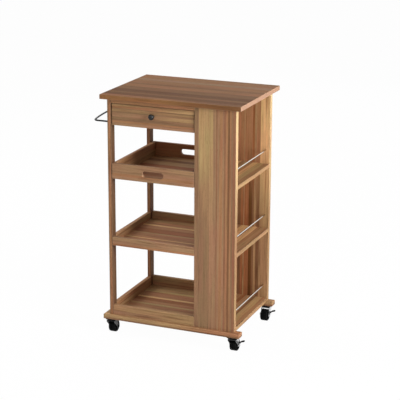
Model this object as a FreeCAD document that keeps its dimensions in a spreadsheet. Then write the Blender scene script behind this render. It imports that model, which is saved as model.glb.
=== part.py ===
import FreeCAD, Part
import math
import operator
import os
import types
import Sketcher

# Driving dimensions in millimetres, angles in degrees
SIZES = {
    # overall size and worktop
    "cart_height": 895,
    "body_width": 487,
    "body_depth": 363,
    "top_thick": 17,
    "top_side_overhang": 21.5,
    "top_front_overhang": 17.5,
    "top_ease": 2,
    "edge_ease": 1.2,
    # uprights
    "post_width": 14,
    "post_depth": 30,
    "divider_thick": 16,
    "panel_thick": 18,
    "rack_width": 139,
    # base
    "base_thick": 17,
    "base_side_overhang": 21.5,
    "base_front_overhang": 11,
    "bar_width": 33,
    # rails, aprons and the shelves of the open bay
    "rail_thick": 14,
    "upper_rail_height": 14.5,
    "apron_height": 78,
    "bottom_rail_height": 37.5,
    "middle_rail_height": 32,
    "middle_shelf_level": 339.5,
    "shelf_panel_thick": 5,
    "rabbet_width": 6,
    # side rack
    "side_shelf_thick": 14,
    "upper_side_shelf_drop": 269.5,
    "middle_side_shelf_level": 349,
    "rod_diameter": 5,
    "rod_rise": 51,
    "rod_setback": 15,
    "rod_seat": 8,
    # towel rail
    "towel_rod_diameter": 6,
    "towel_rail_drop": 85.5,
    "towel_reach": 77.5,
    "towel_bow_radius": 700,
    "towel_bend": 18,
    "towel_seat": 9,
    # runners
    "runner_width": 8,
    "runner_height": 10,
    "slide_gap": 2,
    "groove_spare": 0.5,
    # drawer
    "drawer_gap": 2.5,
    "drawer_recess": 4,
    "drawer_front_height": 77,
    "drawer_front_thick": 16,
    "drawer_side_thick": 12,
    "drawer_side_lift": 8,
    "drawer_side_drop": 11,
    "drawer_back_gap": 17.5,
    "drawer_floor_thick": 4,
    "drawer_floor_lift": 4,
    "drawer_floor_tongue": 4,
    # knob
    "knob_rise": 5.5,
    "knob_diameter": 21,
    "knob_projection": 20.5,
    "knob_head_thick": 11,
    "knob_foot_diameter": 13,
    "knob_foot_thick": 2.5,
    "knob_stem_diameter": 8,
    "knob_screw_diameter": 4,
    "knob_screw_bite": 8,
    "knob_screw_head_diameter": 8,
    "knob_screw_head_thick": 2.4,
    # tray
    "tray_drop": 232,
    "tray_height": 57,
    "tray_wall": 12,
    "tray_floor_thick": 5,
    "tray_floor_tongue": 5,
    "hand_hold_length": 83,
    "hand_hold_height": 22.6,
    # casters
    "caster_inset": 27,
    "caster_trail": 16,
    "plate_length": 38,
    "plate_depth": 32,
    "plate_thick": 2,
    "plate_screw_inset": 4.5,
    "race_diameter": 25,
    "race_depth": 4.9,
    "kingpin_diameter": 8,
    "kingpin_head_diameter": 13,
    "kingpin_head_thick": 2.2,
    "fork_metal": 2,
    "fork_crown_length": 27,
    "fork_shoulder": 5,
    "fork_boss_diameter": 13,
    "wheel_diameter": 44,
    "wheel_width": 26,
    "wheel_top_gap": 1.3,
    "wheel_side_gap": 0.9,
    "wheel_round": 3.5,
    "wheel_rim": 5,
    "wheel_dish": 3,
    "wheel_hub_diameter": 15,
    "axle_diameter": 6,
    "axle_head_size": 11,
    "axle_head_thick": 4,
    # brake levers
    "lever_rise": 8.5,
    "lever_offset": 4,
    "lever_length": 22,
    "lever_width": 9,
    "lever_thick": 2.5,
    "lever_tilt": 30,
    "lever_barrel_diameter": 4.8,
    "lever_pin_diameter": 2.4,
    "ear_thick": 2,
    "ear_height": 7,
    "ear_length": 5.5,
    # screws and dowels
    "caster_screw_diameter": 3.2,
    "caster_screw_cover": 5,
    "caster_screw_head_diameter": 6.4,
    "caster_screw_head_thick": 1.8,
    "base_screw_diameter": 5,
    "base_screw_spare": 3.5,
    "base_screw_head_diameter": 9.6,
    "base_screw_head_thick": 3.5,
    "dowel_diameter": 6,
    "dowel_in_side": 9,
    "dowel_in_end": 15,
    "bottom_dowel_drop": 9,
    "shelf_dowel_inset": 35,
    "base_dowel_inset": 100,
    "post_dowel_inset": 10,
    "divider_dowel_inset": 60,
    # clearances
    "fit_gap": 0.05,
    "running_gap": 0.3,
    "hole_end_gap": 0.5,
}

doc = FreeCAD.newDocument("serving_cart")
sheet = doc.addObject("Spreadsheet::Sheet", "Sizes")
for row, (alias, number) in enumerate(SIZES.items(), 1):
    sheet.set(f"A{row}", alias)
    sheet.set(f"B{row}", str(number))
    sheet.setAlias(f"B{row}", alias)
doc.recompute()


# A size keeps its value together with the formula that ties it to the sheet
class Size:
    def __init__(self, value, formula):
        self.value = float(value)
        self.formula = formula

    def __add__(self, other):
        return combine(operator.add, "+", self, other)

    def __sub__(self, other):
        return combine(operator.sub, "-", self, other)

    def __mul__(self, other):
        return combine(operator.mul, "*", self, other)

    def __rmul__(self, other):
        return combine(operator.mul, "*", other, self)

    def __truediv__(self, other):
        return combine(operator.truediv, "/", self, other)

    def __neg__(self):
        return combine(operator.sub, "-", 0, self)


def as_size(number):
    if isinstance(number, Size):
        return number
    return Size(number, f"({number})")


def combine(function, sign, first, second):
    first = as_size(first)
    second = as_size(second)
    value = function(first.value, second.value)
    return Size(value, f"({first.formula} {sign} {second.formula})")


def cosine(angle):
    return Size(math.cos(math.radians(angle.value)), f"cos({angle.formula})")


def sine(angle):
    return Size(math.sin(math.radians(angle.value)), f"sin({angle.formula})")


dim = types.SimpleNamespace()
for alias, number in SIZES.items():
    setattr(dim, alias, Size(number, f"Sizes.{alias}"))
zero = as_size(0)

# Turns that lead the local Z axis along each direction
TURNS = {
    "+x": FreeCAD.Rotation(FreeCAD.Vector(0, 1, 0), 90),
    "-x": FreeCAD.Rotation(FreeCAD.Vector(0, 1, 0), -90),
    "+y": FreeCAD.Rotation(FreeCAD.Vector(1, 0, 0), -90),
    "-y": FreeCAD.Rotation(FreeCAD.Vector(1, 0, 0), 90),
    "+z": FreeCAD.Rotation(),
    "-z": FreeCAD.Rotation(FreeCAD.Vector(1, 0, 0), 180),
}
OPPOSITE = {"+x": "-x", "-x": "+x", "+y": "-y", "-y": "+y", "+z": "-z"}

nodes = []
corner_of = {}


def bind(item, name, size):
    item.setExpression(name, as_size(size).formula)


def place(item, spot):
    for axis, size in zip("xyz", spot):
        bind(item, f"Placement.Base.{axis}", size)


def new_body(label, corner, is_node=True):
    body = doc.addObject("PartDesign::Body", label)
    body.Label = label
    place(body, corner)
    corner_of[body.Name] = corner
    if is_node:
        nodes.append(body)
    return body


def new_sketch(body, plane_role):
    sketch = body.newObject("Sketcher::SketchObject", body.Name + "_sketch")
    planes = [item for item in body.Origin.OriginFeatures if item.Role == plane_role]
    sketch.AttachmentSupport = [(planes[0], "")]
    sketch.MapMode = "FlatFace"
    return sketch


# A measured constraint, driven from the sheet
def tie(sketch, kind, name, size, *points):
    size = as_size(size)
    index = sketch.addConstraint(Sketcher.Constraint(kind, *points, size.value))
    sketch.renameConstraint(index, name)
    bind(sketch, f"Constraints.{name}", size)


# A closed outline of straight lines through the given corners
def outline(sketch, corners):
    corners = [(as_size(across), as_size(along)) for across, along in corners]
    spots = [FreeCAD.Vector(across.value, along.value, 0) for across, along in corners]
    count = len(corners)
    for index in range(count):
        sketch.addGeometry(Part.LineSegment(spots[index], spots[(index + 1) % count]), False)
    for index in range(count):
        sketch.addConstraint(Sketcher.Constraint("Coincident", index, 2, (index + 1) % count, 1))
    for index, (across, along) in enumerate(corners):
        tie(sketch, "DistanceX", f"across_{index}", across, -1, 1, index, 1)
        tie(sketch, "DistanceY", f"along_{index}", along, -1, 1, index, 1)


# A feature is given in cart coordinates, and set from its body's own corner
def add_feature(body, kind, sizes, spot, direction="+z"):
    feature = body.newObject(f"PartDesign::{kind}", body.Name + "_" + kind)
    for name, size in sizes.items():
        bind(feature, name, size)
    feature.Placement = FreeCAD.Placement(FreeCAD.Vector(), TURNS[direction])
    place(feature, [end - start for end, start in zip(spot, corner_of[body.Name])])
    return feature


def block_sizes(size):
    return {"Length": size[0], "Width": size[1], "Height": size[2]}


def add_block(body, size, corner):
    add_feature(body, "AdditiveBox", block_sizes(size), corner)


def cut_block(body, size, corner):
    add_feature(body, "SubtractiveBox", block_sizes(size), corner)


def add_cylinder(body, radius, length, start, direction):
    add_feature(body, "AdditiveCylinder", {"Radius": radius, "Height": length}, start, direction)


def drill(body, radius, depth, start, direction):
    add_feature(body, "SubtractiveCylinder", {"Radius": radius, "Height": depth}, start, direction)


def add_hexagon(body, across_corners, length, start, direction):
    sizes = {"Circumradius": across_corners / 2, "Height": length}
    prism = add_feature(body, "AdditivePrism", sizes, start, direction)
    prism.Polygon = 6


# A board: a padded rectangle with eased edges, or sharp ones where it is hidden
def board(label, size, corner, ease=None, is_node=True):
    body = new_body(label, corner, is_node)
    sketch = new_sketch(body, "XY_Plane")
    outline(sketch, [(0, 0), (size[0], 0), (size[0], size[1]), (0, size[1])])
    pad = body.newObject("PartDesign::Pad", label + "_pad")
    pad.Profile = sketch
    bind(pad, "Length", size[2])
    if ease is not None:
        rounding = body.newObject("PartDesign::Fillet", label + "_ease")
        rounding.Base = (pad, ["Edge1"])
        rounding.UseAllEdges = True
        bind(rounding, "Radius", ease)
    return body


# Like pieces that share one node
def group(label, pieces):
    bundle = doc.addObject("Part::Compound", label)
    bundle.Label = label
    bundle.Links = pieces
    nodes.append(bundle)


# Levels of the casters and the boards above the floor
axle_level = dim.wheel_diameter / 2
kingpin_foot = dim.wheel_diameter + dim.wheel_top_gap
kingpin_head_top = kingpin_foot + dim.kingpin_head_thick
crown_under = kingpin_head_top + dim.running_gap
crown_top = crown_under + dim.fork_metal
plate_under = crown_top + dim.running_gap + dim.race_depth
base_under = plate_under + dim.plate_thick
base_top = base_under + dim.base_thick
top_under = dim.cart_height - dim.top_thick
upright_height = top_under - base_top

# The brake lever tips and the bow of the towel rail set the width, and the origin lies midway
base_length = dim.body_width + 2 * dim.base_side_overhang
base_depth = dim.body_depth + 2 * dim.base_front_overhang
fork_inner = dim.wheel_width / 2 + dim.wheel_side_gap
fork_half = fork_inner + dim.fork_metal
caster_side = base_length / 2 - dim.caster_inset
lever_axis = fork_half + dim.lever_barrel_diameter / 2 + dim.running_gap
lever_tip = dim.lever_length * cosine(dim.lever_tilt) + dim.lever_thick / 2 * sine(dim.lever_tilt)
right_reach = caster_side + lever_axis + lever_tip
left_reach = dim.body_width / 2 + dim.towel_reach + dim.towel_rod_diameter / 2
cart_middle = (left_reach - right_reach) / 2

# Faces of the carcass, from left to right and from front to back
body_left = cart_middle - dim.body_width / 2
body_right = cart_middle + dim.body_width / 2
bay_left = body_left + dim.post_width
rack_left = body_right - dim.rack_width
bay_right = rack_left - dim.divider_thick
bay_width = bay_right - bay_left
body_front = -dim.body_depth / 2
body_back = dim.body_depth / 2
rack_front = body_front + dim.panel_thick
rack_run = dim.body_depth - 2 * dim.panel_thick
base_left = cart_middle - base_length / 2
bar_inner = base_depth / 2 - dim.bar_width
bar_middle = base_depth / 2 - dim.bar_width / 2

# Worktop
top_length = dim.body_width + 2 * dim.top_side_overhang
top_depth = dim.body_depth + 2 * dim.top_front_overhang
top_size = (top_length, top_depth, dim.top_thick)
top_corner = (cart_middle - top_length / 2, -top_depth / 2, top_under)
top_board = board("top_board", top_size, top_corner, dim.top_ease)

# Base: two long bars with the floor of the open bay between them
bar_size = (base_length, dim.bar_width, dim.base_thick)
front_bar = board("front_base_bar", bar_size, (base_left, -base_depth / 2, base_under), dim.edge_ease)
rear_bar = board("rear_base_bar", bar_size, (base_left, bar_inner, base_under), dim.edge_ease)
base_board_size = (rack_left - base_left, 2 * bar_inner, dim.base_thick)
base_board = board("base_board", base_board_size, (base_left, -bar_inner, base_under), dim.edge_ease)

# Uprights
post_size = (dim.post_width, dim.post_depth, upright_height)
rear_post_y = body_back - dim.post_depth
front_post = board("front_left_post", post_size, (body_left, body_front, base_top), dim.edge_ease)
rear_post = board("rear_left_post", post_size, (body_left, rear_post_y, base_top), dim.edge_ease)
divider_size = (dim.divider_thick, dim.body_depth, upright_height)
divider = board("divider_panel", divider_size, (bay_right, body_front, base_top), dim.edge_ease)
panel_size = (dim.rack_width, dim.panel_thick, upright_height)
rear_panel_y = body_back - dim.panel_thick
front_panel = board("front_panel", panel_size, (rack_left, body_front, base_top), dim.edge_ease)
rear_panel = board("rear_panel", panel_size, (rack_left, rear_panel_y, base_top), dim.edge_ease)

# Rails across the open bay, between a post and the divider
rear_rail_y = body_back - dim.rail_thick
apron_level = top_under - dim.apron_height
upper_rail_level = top_under - dim.upper_rail_height


def cross_rail(label, height, y, level):
    return board(label, (bay_width, dim.rail_thick, height), (bay_left, y, level), dim.edge_ease)


upper_front = cross_rail("upper_front_rail", dim.upper_rail_height, body_front, upper_rail_level)
rear_apron = cross_rail("rear_apron", dim.apron_height, rear_rail_y, apron_level)
middle_front = cross_rail("middle_front_rail", dim.middle_rail_height, body_front, dim.middle_shelf_level)
middle_rear = cross_rail("middle_rear_rail", dim.middle_rail_height, rear_rail_y, dim.middle_shelf_level)
bottom_front = cross_rail("bottom_front_rail", dim.bottom_rail_height, body_front, base_top)
bottom_rear = cross_rail("bottom_rear_rail", dim.bottom_rail_height, rear_rail_y, base_top)

# Rails along the left side, between the two posts
side_rail_y = body_front + dim.post_depth


def side_rail(label, height, level):
    size = (dim.post_width, rear_post_y - side_rail_y, height)
    return board(label, size, (body_left, side_rail_y, level), dim.edge_ease)


left_apron = side_rail("left_apron", dim.apron_height, apron_level)
middle_left = side_rail("middle_left_rail", dim.middle_rail_height, dim.middle_shelf_level)
bottom_left = side_rail("bottom_left_rail", dim.bottom_rail_height, base_top)

# Middle shelf panel, let into rabbets under the front and rear rails
rabbet_size = (bay_width, dim.rabbet_width, dim.shelf_panel_thick + dim.fit_gap)
shelf_front = body_front + dim.rail_thick - dim.rabbet_width
shelf_panel_size = (bay_width, rear_rail_y + dim.rabbet_width - shelf_front, dim.shelf_panel_thick)
cut_block(middle_front, rabbet_size, (bay_left, shelf_front, dim.middle_shelf_level))
cut_block(middle_rear, rabbet_size, (bay_left, rear_rail_y, dim.middle_shelf_level))
board("middle_shelf_panel", shelf_panel_size, (bay_left, shelf_front, dim.middle_shelf_level))

# Shelves of the side rack, between the front and rear panels
upper_shelf_level = top_under - dim.upper_side_shelf_drop - dim.side_shelf_thick
side_shelf_levels = {
    "upper_side_shelf": upper_shelf_level,
    "middle_side_shelf": dim.middle_side_shelf_level,
    "bottom_side_shelf": base_top,
}
side_shelf_size = (dim.rack_width, rack_run, dim.side_shelf_thick)
side_shelves = {}
for label, level in side_shelf_levels.items():
    side_shelves[label] = board(label, side_shelf_size, (rack_left, rack_front, level), dim.edge_ease)

# Dowels: each sits in the end of one board and in the side of another
dowel_radius = dim.dowel_diameter / 2
dowel_hole = dowel_radius + dim.fit_gap
dowels = []


def dowel(end_board, side_board, spot, direction):
    back = OPPOSITE[direction]
    drill(end_board, dowel_hole, dim.dowel_in_end + dim.hole_end_gap, spot, back)
    drill(side_board, dowel_hole, dim.dowel_in_side + dim.hole_end_gap, spot, direction)
    pin = new_body(f"dowel_{len(dowels)}", spot, False)
    add_cylinder(pin, dowel_radius, dim.dowel_in_end, spot, back)
    add_cylinder(pin, dowel_radius, dim.dowel_in_side, spot, direction)
    dowels.append(pin)


def dowel_cross_rail(rail, post, y, level):
    middle_y = y + dim.rail_thick / 2
    dowel(rail, post, (bay_left, middle_y, level), "-x")
    dowel(rail, divider, (bay_right, middle_y, level), "+x")


post_middle = body_left + dim.post_width / 2


def dowel_side_rail(rail, level):
    dowel(rail, front_post, (post_middle, side_rail_y, level), "-y")
    dowel(rail, rear_post, (post_middle, rear_post_y, level), "+y")


# The dowels of the bottom rails sit high, clear of the screws that come up from the base
upper_dowel_level = upper_rail_level + dim.upper_rail_height / 2
apron_dowel_level = apron_level + dim.apron_height / 2
middle_dowel_level = dim.middle_shelf_level + dim.middle_rail_height / 2
bottom_dowel_level = base_top + dim.bottom_rail_height - dim.bottom_dowel_drop
dowel_cross_rail(upper_front, front_post, body_front, upper_dowel_level)
dowel_cross_rail(rear_apron, rear_post, rear_rail_y, apron_dowel_level)
dowel_cross_rail(middle_front, front_post, body_front, middle_dowel_level)
dowel_cross_rail(middle_rear, rear_post, rear_rail_y, middle_dowel_level)
dowel_cross_rail(bottom_front, front_post, body_front, bottom_dowel_level)
dowel_cross_rail(bottom_rear, rear_post, rear_rail_y, bottom_dowel_level)
dowel_side_rail(left_apron, apron_dowel_level)
dowel_side_rail(middle_left, middle_dowel_level)
dowel_side_rail(bottom_left, bottom_dowel_level)

rack_dowel_places = (rack_left + dim.shelf_dowel_inset, body_right - dim.shelf_dowel_inset)
for label, level in side_shelf_levels.items():
    middle_z = level + dim.side_shelf_thick / 2
    for dowel_x in rack_dowel_places:
        dowel(side_shelves[label], front_panel, (dowel_x, rack_front, middle_z), "-y")
        dowel(side_shelves[label], rear_panel, (dowel_x, rear_panel_y, middle_z), "+y")

for dowel_x in (base_left + dim.base_dowel_inset, rack_left - dim.base_dowel_inset):
    middle_z = base_under + dim.base_thick / 2
    dowel(base_board, front_bar, (dowel_x, -bar_inner, middle_z), "-y")
    dowel(base_board, rear_bar, (dowel_x, bar_inner, middle_z), "+y")

divider_middle = bay_right + dim.divider_thick / 2
divider_dowel_y = dim.body_depth / 2 - dim.divider_dowel_inset
dowel(front_post, top_board, (post_middle, side_rail_y - dim.post_dowel_inset, top_under), "+z")
dowel(rear_post, top_board, (post_middle, rear_post_y + dim.post_dowel_inset, top_under), "+z")
dowel(divider, top_board, (divider_middle, -divider_dowel_y, top_under), "+z")
dowel(divider, top_board, (divider_middle, divider_dowel_y, top_under), "+z")
for dowel_x in rack_dowel_places:
    dowel(front_panel, top_board, (dowel_x, body_front + dim.panel_thick / 2, top_under), "+z")
    dowel(rear_panel, top_board, (dowel_x, rear_panel_y + dim.panel_thick / 2, top_under), "+z")
group("frame_dowels", dowels)

# Guard rods above the side shelves, seated in blind holes in the two panels
rod_x = body_right - dim.rod_setback
rod_radius = dim.rod_diameter / 2
rod_hole_depth = dim.rod_seat + dim.hole_end_gap
rods = []
for label, level in side_shelf_levels.items():
    rod_z = level + dim.side_shelf_thick + dim.rod_rise
    drill(front_panel, rod_radius + dim.fit_gap, rod_hole_depth, (rod_x, rack_front, rod_z), "-y")
    drill(rear_panel, rod_radius + dim.fit_gap, rod_hole_depth, (rod_x, rear_panel_y, rod_z), "+y")
    rod_start = (rod_x, rack_front - dim.rod_seat, rod_z)
    rod = new_body(label + "_rod", rod_start, False)
    add_cylinder(rod, rod_radius, rack_run + 2 * dim.rod_seat, rod_start, "+y")
    rods.append(rod)
group("guard_rods", rods)

# Towel rail: one rod with two legs seated in the left posts and a bowed run between them
towel_level = top_under - dim.towel_rail_drop
towel_radius = dim.towel_rod_diameter / 2
leg_side = dim.body_depth / 2 - dim.post_depth / 2
for post, side in ((front_post, -leg_side), (rear_post, leg_side)):
    seat_depth = dim.towel_seat + dim.hole_end_gap
    drill(post, towel_radius + dim.fit_gap, seat_depth, (body_left, side, towel_level), "+x")


def draw_towel_path(sketch):
    bow = dim.towel_bow_radius.value
    bend = dim.towel_bend.value
    side = leg_side.value
    seat = dim.towel_seat.value
    up = FreeCAD.Vector(0, 0, 1)
    bow_centre = FreeCAD.Vector(bow - dim.towel_reach.value, 0, 0)
    bend_y = side - bend
    bend_x = bow_centre.x - math.sqrt((bow - bend) ** 2 - bend_y ** 2)
    lean = math.atan2(bend_y, bow_centre.x - bend_x)
    front_circle = Part.Circle(FreeCAD.Vector(bend_x, -bend_y, 0), up, bend)
    rear_circle = Part.Circle(FreeCAD.Vector(bend_x, bend_y, 0), up, bend)
    run_circle = Part.Circle(bow_centre, up, bow)
    curves = (
        Part.LineSegment(FreeCAD.Vector(seat, -side, 0), FreeCAD.Vector(bend_x, -side, 0)),
        Part.ArcOfCircle(front_circle, math.pi + lean, 1.5 * math.pi),
        Part.ArcOfCircle(run_circle, math.pi - lean, math.pi + lean),
        Part.ArcOfCircle(rear_circle, 0.5 * math.pi, math.pi - lean),
        Part.LineSegment(FreeCAD.Vector(bend_x, side, 0), FreeCAD.Vector(seat, side, 0)),
    )
    for curve in curves:
        sketch.addGeometry(curve, False)
    for first, first_end, second, second_end in ((0, 2, 1, 2), (1, 1, 2, 2), (2, 1, 3, 2), (3, 1, 4, 1)):
        sketch.addConstraint(Sketcher.Constraint("Tangent", first, first_end, second, second_end))
    sketch.addConstraint(Sketcher.Constraint("Horizontal", 0))
    sketch.addConstraint(Sketcher.Constraint("Horizontal", 4))
    sketch.addConstraint(Sketcher.Constraint("PointOnObject", 2, 3, -1))
    tie(sketch, "DistanceX", "front_leg_end", dim.towel_seat, -1, 1, 0, 1)
    tie(sketch, "DistanceY", "front_leg_side", -leg_side, -1, 1, 0, 1)
    tie(sketch, "DistanceX", "rear_leg_end", dim.towel_seat, -1, 1, 4, 2)
    tie(sketch, "DistanceY", "rear_leg_side", leg_side, -1, 1, 4, 2)
    tie(sketch, "Radius", "front_bend", dim.towel_bend, 1)
    tie(sketch, "Radius", "rear_bend", dim.towel_bend, 3)
    tie(sketch, "Radius", "bow", dim.towel_bow_radius, 2)
    tie(sketch, "DistanceX", "bow_centre", dim.towel_bow_radius - dim.towel_reach, -1, 1, 2, 3)


def draw_towel_section(sketch):
    middle = FreeCAD.Vector(-leg_side.value, 0, 0)
    sketch.addGeometry(Part.Circle(middle, FreeCAD.Vector(0, 0, 1), towel_radius.value), False)
    tie(sketch, "Radius", "rod", towel_radius, 0)
    tie(sketch, "DistanceX", "side", -leg_side, -1, 1, 0, 3)
    sketch.addConstraint(Sketcher.Constraint("PointOnObject", 0, 3, -1))
    bind(sketch, "AttachmentOffset.Base.z", dim.towel_seat)


towel_rail = new_body("towel_rail", (body_left, zero, towel_level))
towel_path = new_sketch(towel_rail, "XY_Plane")
draw_towel_path(towel_path)
towel_section = new_sketch(towel_rail, "YZ_Plane")
draw_towel_section(towel_section)
towel_pipe = towel_rail.newObject("PartDesign::AdditivePipe", "towel_rail_pipe")
towel_pipe.Profile = towel_section
towel_pipe.Spine = (towel_path, [])

# Drawer: a front, and a box whose grooved sides run on two battens
drawer_front_y = body_front + dim.drawer_recess
drawer_bottom = upper_rail_level - dim.drawer_gap - dim.drawer_front_height
box_left = bay_left + dim.slide_gap
box_right = bay_right - dim.slide_gap
box_front = drawer_front_y + dim.drawer_front_thick
box_run = rear_rail_y - dim.drawer_back_gap - box_front
side_level = drawer_bottom + dim.drawer_side_lift
side_height = dim.drawer_front_height - dim.drawer_side_lift - dim.drawer_side_drop
drawer_floor_level = side_level + dim.drawer_floor_lift
drawer_floor_top = drawer_floor_level + dim.drawer_floor_thick
groove_depth = dim.runner_width - dim.slide_gap + dim.groove_spare
groove_height = dim.runner_height + 2 * dim.running_gap
drawer_groove_level = side_level + side_height / 2 - groove_height / 2

drawer_front_size = (bay_width - 2 * dim.drawer_gap, dim.drawer_front_thick, dim.drawer_front_height)
drawer_front_corner = (bay_left + dim.drawer_gap, drawer_front_y, drawer_bottom)
drawer_front = board("drawer_front", drawer_front_size, drawer_front_corner, dim.edge_ease)

inner_left = box_left + dim.drawer_side_thick
inner_right = box_right - dim.drawer_side_thick
side_size = (dim.drawer_side_thick, box_run, side_height)
drawer_left = board("drawer_left_side", side_size, (box_left, box_front, side_level), dim.edge_ease)
drawer_right = board("drawer_right_side", side_size, (inner_right, box_front, side_level), dim.edge_ease)
drawer_groove_size = (groove_depth, box_run, groove_height)
cut_block(drawer_left, drawer_groove_size, (box_left, box_front, drawer_groove_level))
cut_block(drawer_right, drawer_groove_size, (box_right - groove_depth, box_front, drawer_groove_level))

tongue_room = dim.drawer_floor_tongue + dim.fit_gap
floor_groove_size = (tongue_room, box_run, dim.drawer_floor_thick + 2 * dim.fit_gap)
floor_groove_level = drawer_floor_level - dim.fit_gap
cut_block(drawer_left, floor_groove_size, (inner_left - tongue_room, box_front, floor_groove_level))
cut_block(drawer_right, floor_groove_size, (inner_right, box_front, floor_groove_level))
drawer_floor_width = inner_right - inner_left + 2 * dim.drawer_floor_tongue
drawer_floor_corner = (inner_left - dim.drawer_floor_tongue, box_front, drawer_floor_level)
board("drawer_floor", (drawer_floor_width, box_run, dim.drawer_floor_thick), drawer_floor_corner)
drawer_back_height = side_level + side_height - drawer_floor_top
drawer_back_size = (inner_right - inner_left, dim.drawer_side_thick, drawer_back_height)
drawer_back_corner = (inner_left, box_front + box_run - dim.drawer_side_thick, drawer_floor_top)
board("drawer_back", drawer_back_size, drawer_back_corner, dim.edge_ease)

# Knob, with the screw that holds it from inside the drawer
bay_middle = (bay_left + bay_right) / 2
knob_z = drawer_bottom + dim.drawer_front_height / 2 + dim.knob_rise
knob_spot = (bay_middle, drawer_front_y, knob_z)
knob_head_y = drawer_front_y - dim.knob_projection + dim.knob_head_thick / 2
knob_head_sizes = {"Radius1": dim.knob_head_thick / 2, "Radius2": dim.knob_diameter / 2, "Radius3": 0}
knob = new_body("drawer_knob", knob_spot)
add_cylinder(knob, dim.knob_foot_diameter / 2, dim.knob_foot_thick, knob_spot, "-y")
add_cylinder(knob, dim.knob_stem_diameter / 2, drawer_front_y - knob_head_y, knob_spot, "-y")
add_feature(knob, "AdditiveEllipsoid", knob_head_sizes, (bay_middle, knob_head_y, knob_z), "-y")

knob_screw_radius = dim.knob_screw_diameter / 2
knob_screw_hole = knob_screw_radius + dim.fit_gap
knob_screw_run = dim.drawer_front_thick + dim.knob_screw_bite
screw_spot = (bay_middle, box_front, knob_z)
drill(knob, knob_screw_hole, dim.knob_screw_bite + dim.hole_end_gap, knob_spot, "-y")
drill(drawer_front, knob_screw_hole, dim.drawer_front_thick, screw_spot, "-y")
knob_screw = new_body("knob_screw", screw_spot)
add_cylinder(knob_screw, knob_screw_radius, knob_screw_run, screw_spot, "-y")
add_cylinder(knob_screw, dim.knob_screw_head_diameter / 2, dim.knob_screw_head_thick, screw_spot, "+y")

# Drawer runners, fixed to the left posts and apron and to the divider
drawer_runner_y = box_front + dim.running_gap
drawer_runner_size = (dim.runner_width, rear_rail_y - drawer_runner_y, dim.runner_height)
drawer_runner_level = drawer_groove_level + dim.running_gap
right_runner_x = bay_right - dim.runner_width
board("drawer_runner_left", drawer_runner_size, (bay_left, drawer_runner_y, drawer_runner_level))
board("drawer_runner_right", drawer_runner_size, (right_runner_x, drawer_runner_y, drawer_runner_level))

# Tray: four walls on a floor, with hand holds front and rear
tray_level = top_under - dim.tray_drop - dim.tray_height
tray_side_y = body_front + dim.tray_wall
tray_rear_y = body_back - dim.tray_wall
tray_inner_left = box_left + dim.tray_wall
tray_inner_right = box_right - dim.tray_wall
tray_inner_width = tray_inner_right - tray_inner_left
tray_run = body_back - tray_side_y
tray_front_size = (box_right - box_left, dim.tray_wall, dim.tray_height)
tray_side_size = (dim.tray_wall, tray_run, dim.tray_height)
tray_rear_size = (tray_inner_width, dim.tray_wall, dim.tray_height)
tray_right_corner = (tray_inner_right, tray_side_y, tray_level)
tray_front = board("tray_front", tray_front_size, (box_left, body_front, tray_level), dim.edge_ease)
tray_rear = board("tray_rear", tray_rear_size, (tray_inner_left, tray_rear_y, tray_level), dim.edge_ease)
tray_left = board("tray_left_side", tray_side_size, (box_left, tray_side_y, tray_level), dim.edge_ease)
tray_right = board("tray_right_side", tray_side_size, tray_right_corner, dim.edge_ease)

tray_groove_level = tray_level + dim.tray_height / 2 - groove_height / 2
tray_groove_size = (groove_depth, tray_run, groove_height)
cut_block(tray_left, tray_groove_size, (box_left, tray_side_y, tray_groove_level))
cut_block(tray_right, tray_groove_size, (box_right - groove_depth, tray_side_y, tray_groove_level))

# The tray floor lies in rabbets along the four walls
lip = dim.tray_floor_tongue + dim.fit_gap
lip_height = dim.tray_floor_thick + dim.fit_gap
cut_block(tray_left, (lip, tray_run, lip_height), (tray_inner_left - lip, tray_side_y, tray_level))
cut_block(tray_right, (lip, tray_run, lip_height), tray_right_corner)
front_lip_size = (tray_inner_width + 2 * lip, lip, lip_height)
cut_block(tray_front, front_lip_size, (tray_inner_left - lip, tray_side_y - lip, tray_level))
cut_block(tray_rear, (tray_inner_width, lip, lip_height), (tray_inner_left, tray_rear_y, tray_level))
tray_floor_size = (
    tray_inner_width + 2 * dim.tray_floor_tongue,
    tray_rear_y - tray_side_y + 2 * dim.tray_floor_tongue,
    dim.tray_floor_thick,
)
tray_floor_x = tray_inner_left - dim.tray_floor_tongue
board("tray_floor", tray_floor_size, (tray_floor_x, tray_side_y - dim.tray_floor_tongue, tray_level))

hold_z = tray_level + dim.tray_height / 2
hold_radius = dim.hand_hold_height / 2
hold_straight = dim.hand_hold_length - dim.hand_hold_height
hold_left = bay_middle - hold_straight / 2
for wall, wall_y in ((tray_front, body_front), (tray_rear, tray_rear_y)):
    straight_size = (hold_straight, dim.tray_wall, dim.hand_hold_height)
    cut_block(wall, straight_size, (hold_left, wall_y, hold_z - hold_radius))
    for end_x in (hold_left, hold_left + hold_straight):
        drill(wall, hold_radius, dim.tray_wall, (end_x, wall_y, hold_z), "+y")

# Tray runners, fixed to the left posts and to the divider
tray_runner_y = tray_side_y + dim.running_gap
tray_runner_size = (dim.runner_width, body_back - tray_runner_y, dim.runner_height)
tray_runner_level = tray_groove_level + dim.running_gap
board("tray_runner_left", tray_runner_size, (bay_left, tray_runner_y, tray_runner_level))
board("tray_runner_right", tray_runner_size, (right_runner_x, tray_runner_y, tray_runner_level))

# Screws that hold the base bars to the uprights, sunk into the bars from below
base_screw_radius = dim.base_screw_diameter / 2
base_screw_hole = base_screw_radius + dim.fit_gap
base_head_radius = dim.base_screw_head_diameter / 2
base_screw_bite = dim.bottom_rail_height - dim.bottom_dowel_drop - dowel_radius - dim.base_screw_spare
base_screw_y = (dim.body_depth / 2 + bar_inner) / 2
panel_middle = rack_left + dim.rack_width / 2
base_screws = []


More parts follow.
